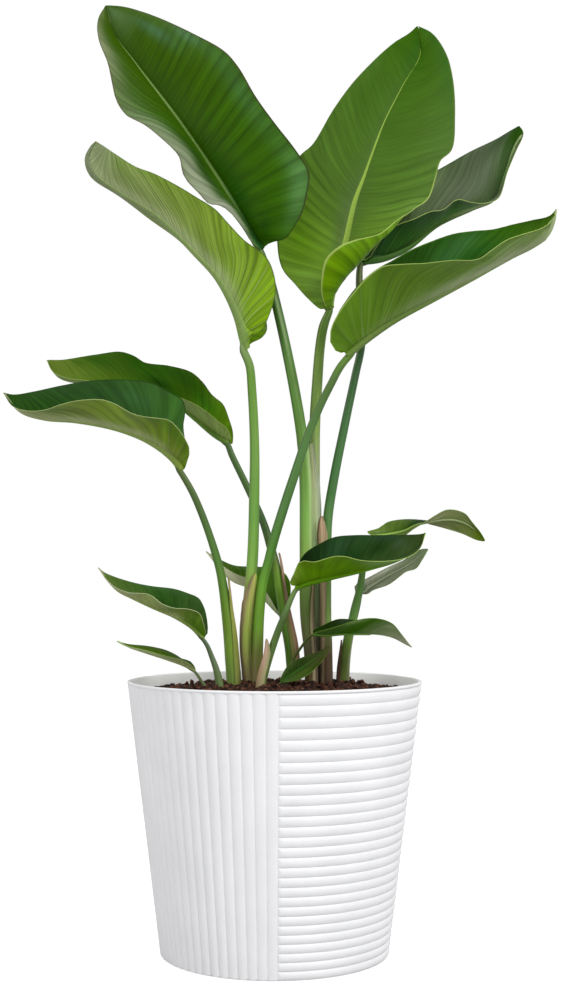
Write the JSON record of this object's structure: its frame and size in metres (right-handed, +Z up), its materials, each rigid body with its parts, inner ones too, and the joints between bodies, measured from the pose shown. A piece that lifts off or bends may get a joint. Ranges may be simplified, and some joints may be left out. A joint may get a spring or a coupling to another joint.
{
  "type": "potted bird of paradise plant",
  "caption": "Potted bird of paradise: broad paddle leaves on long sheathed stalks, rising from soil in a tapered white pot that is reeded on one half and ringed on the other.",
  "frame": {"origin": "centre of the pot's round foot, on the surface that it stands on", "axes": "+Z up along the pot's axis, -Y towards the viewer's front, +X to the viewer's right; the reeded half of the pot is on -X and the ringed half on +X"},
  "size_m": [0.5285, 0.292, 0.9658],
  "materials": {
    "pot": "matte",
    "soil": "rough, loose",
    "blade": "waxy satin",
    "stalk": "smooth satin",
    "sheath": "dry, papery"
  },
  "bodies": {
    "root": {"pot": "pot", "soil": "soil", "blade_tall_left": "blade", "stalk_tall_left": "stalk", "blade_bowed_left": "blade", "stalk_bowed_left": "stalk", "blade_tall_centre": "blade", "stalk_tall_centre": "stalk", "blade_upper_right": "blade", "stalk_upper_right": "stalk", "blade_boat_right": "blade", "stalk_boat_right": "stalk", "blade_side_left_front": "blade", "stalk_side_left_front": "stalk", "blade_side_left_back": "blade", "stalk_side_left_back": "stalk", "blade_low_right": "blade", "stalk_low_right": "stalk", "blade_low_left": "blade", "stalk_low_left": "stalk", "blade_small_left": "blade", "stalk_small_left": "stalk", "blade_hidden_back": "blade", "stalk_hidden_back": "stalk", "blade_twisted_right": "blade", "stalk_twisted_right": "stalk", "blade_turned_right": "blade", "stalk_turned_right": "stalk", "blade_arched_right": "blade", "stalk_arched_right": "stalk", "blade_new_shoot": "blade", "stalk_new_shoot": "stalk", "sheath_bowed_left": "sheath", "sheath_side_left_front": "sheath", "sheath_side_left_back": "sheath", "sheath_upper_right": "sheath", "sheath_tall_centre": "sheath", "sheath_tall_left": "sheath", "sheath_low_right": "sheath", "sheath_twisted_right": "sheath"}
  },
  "joints": []
}
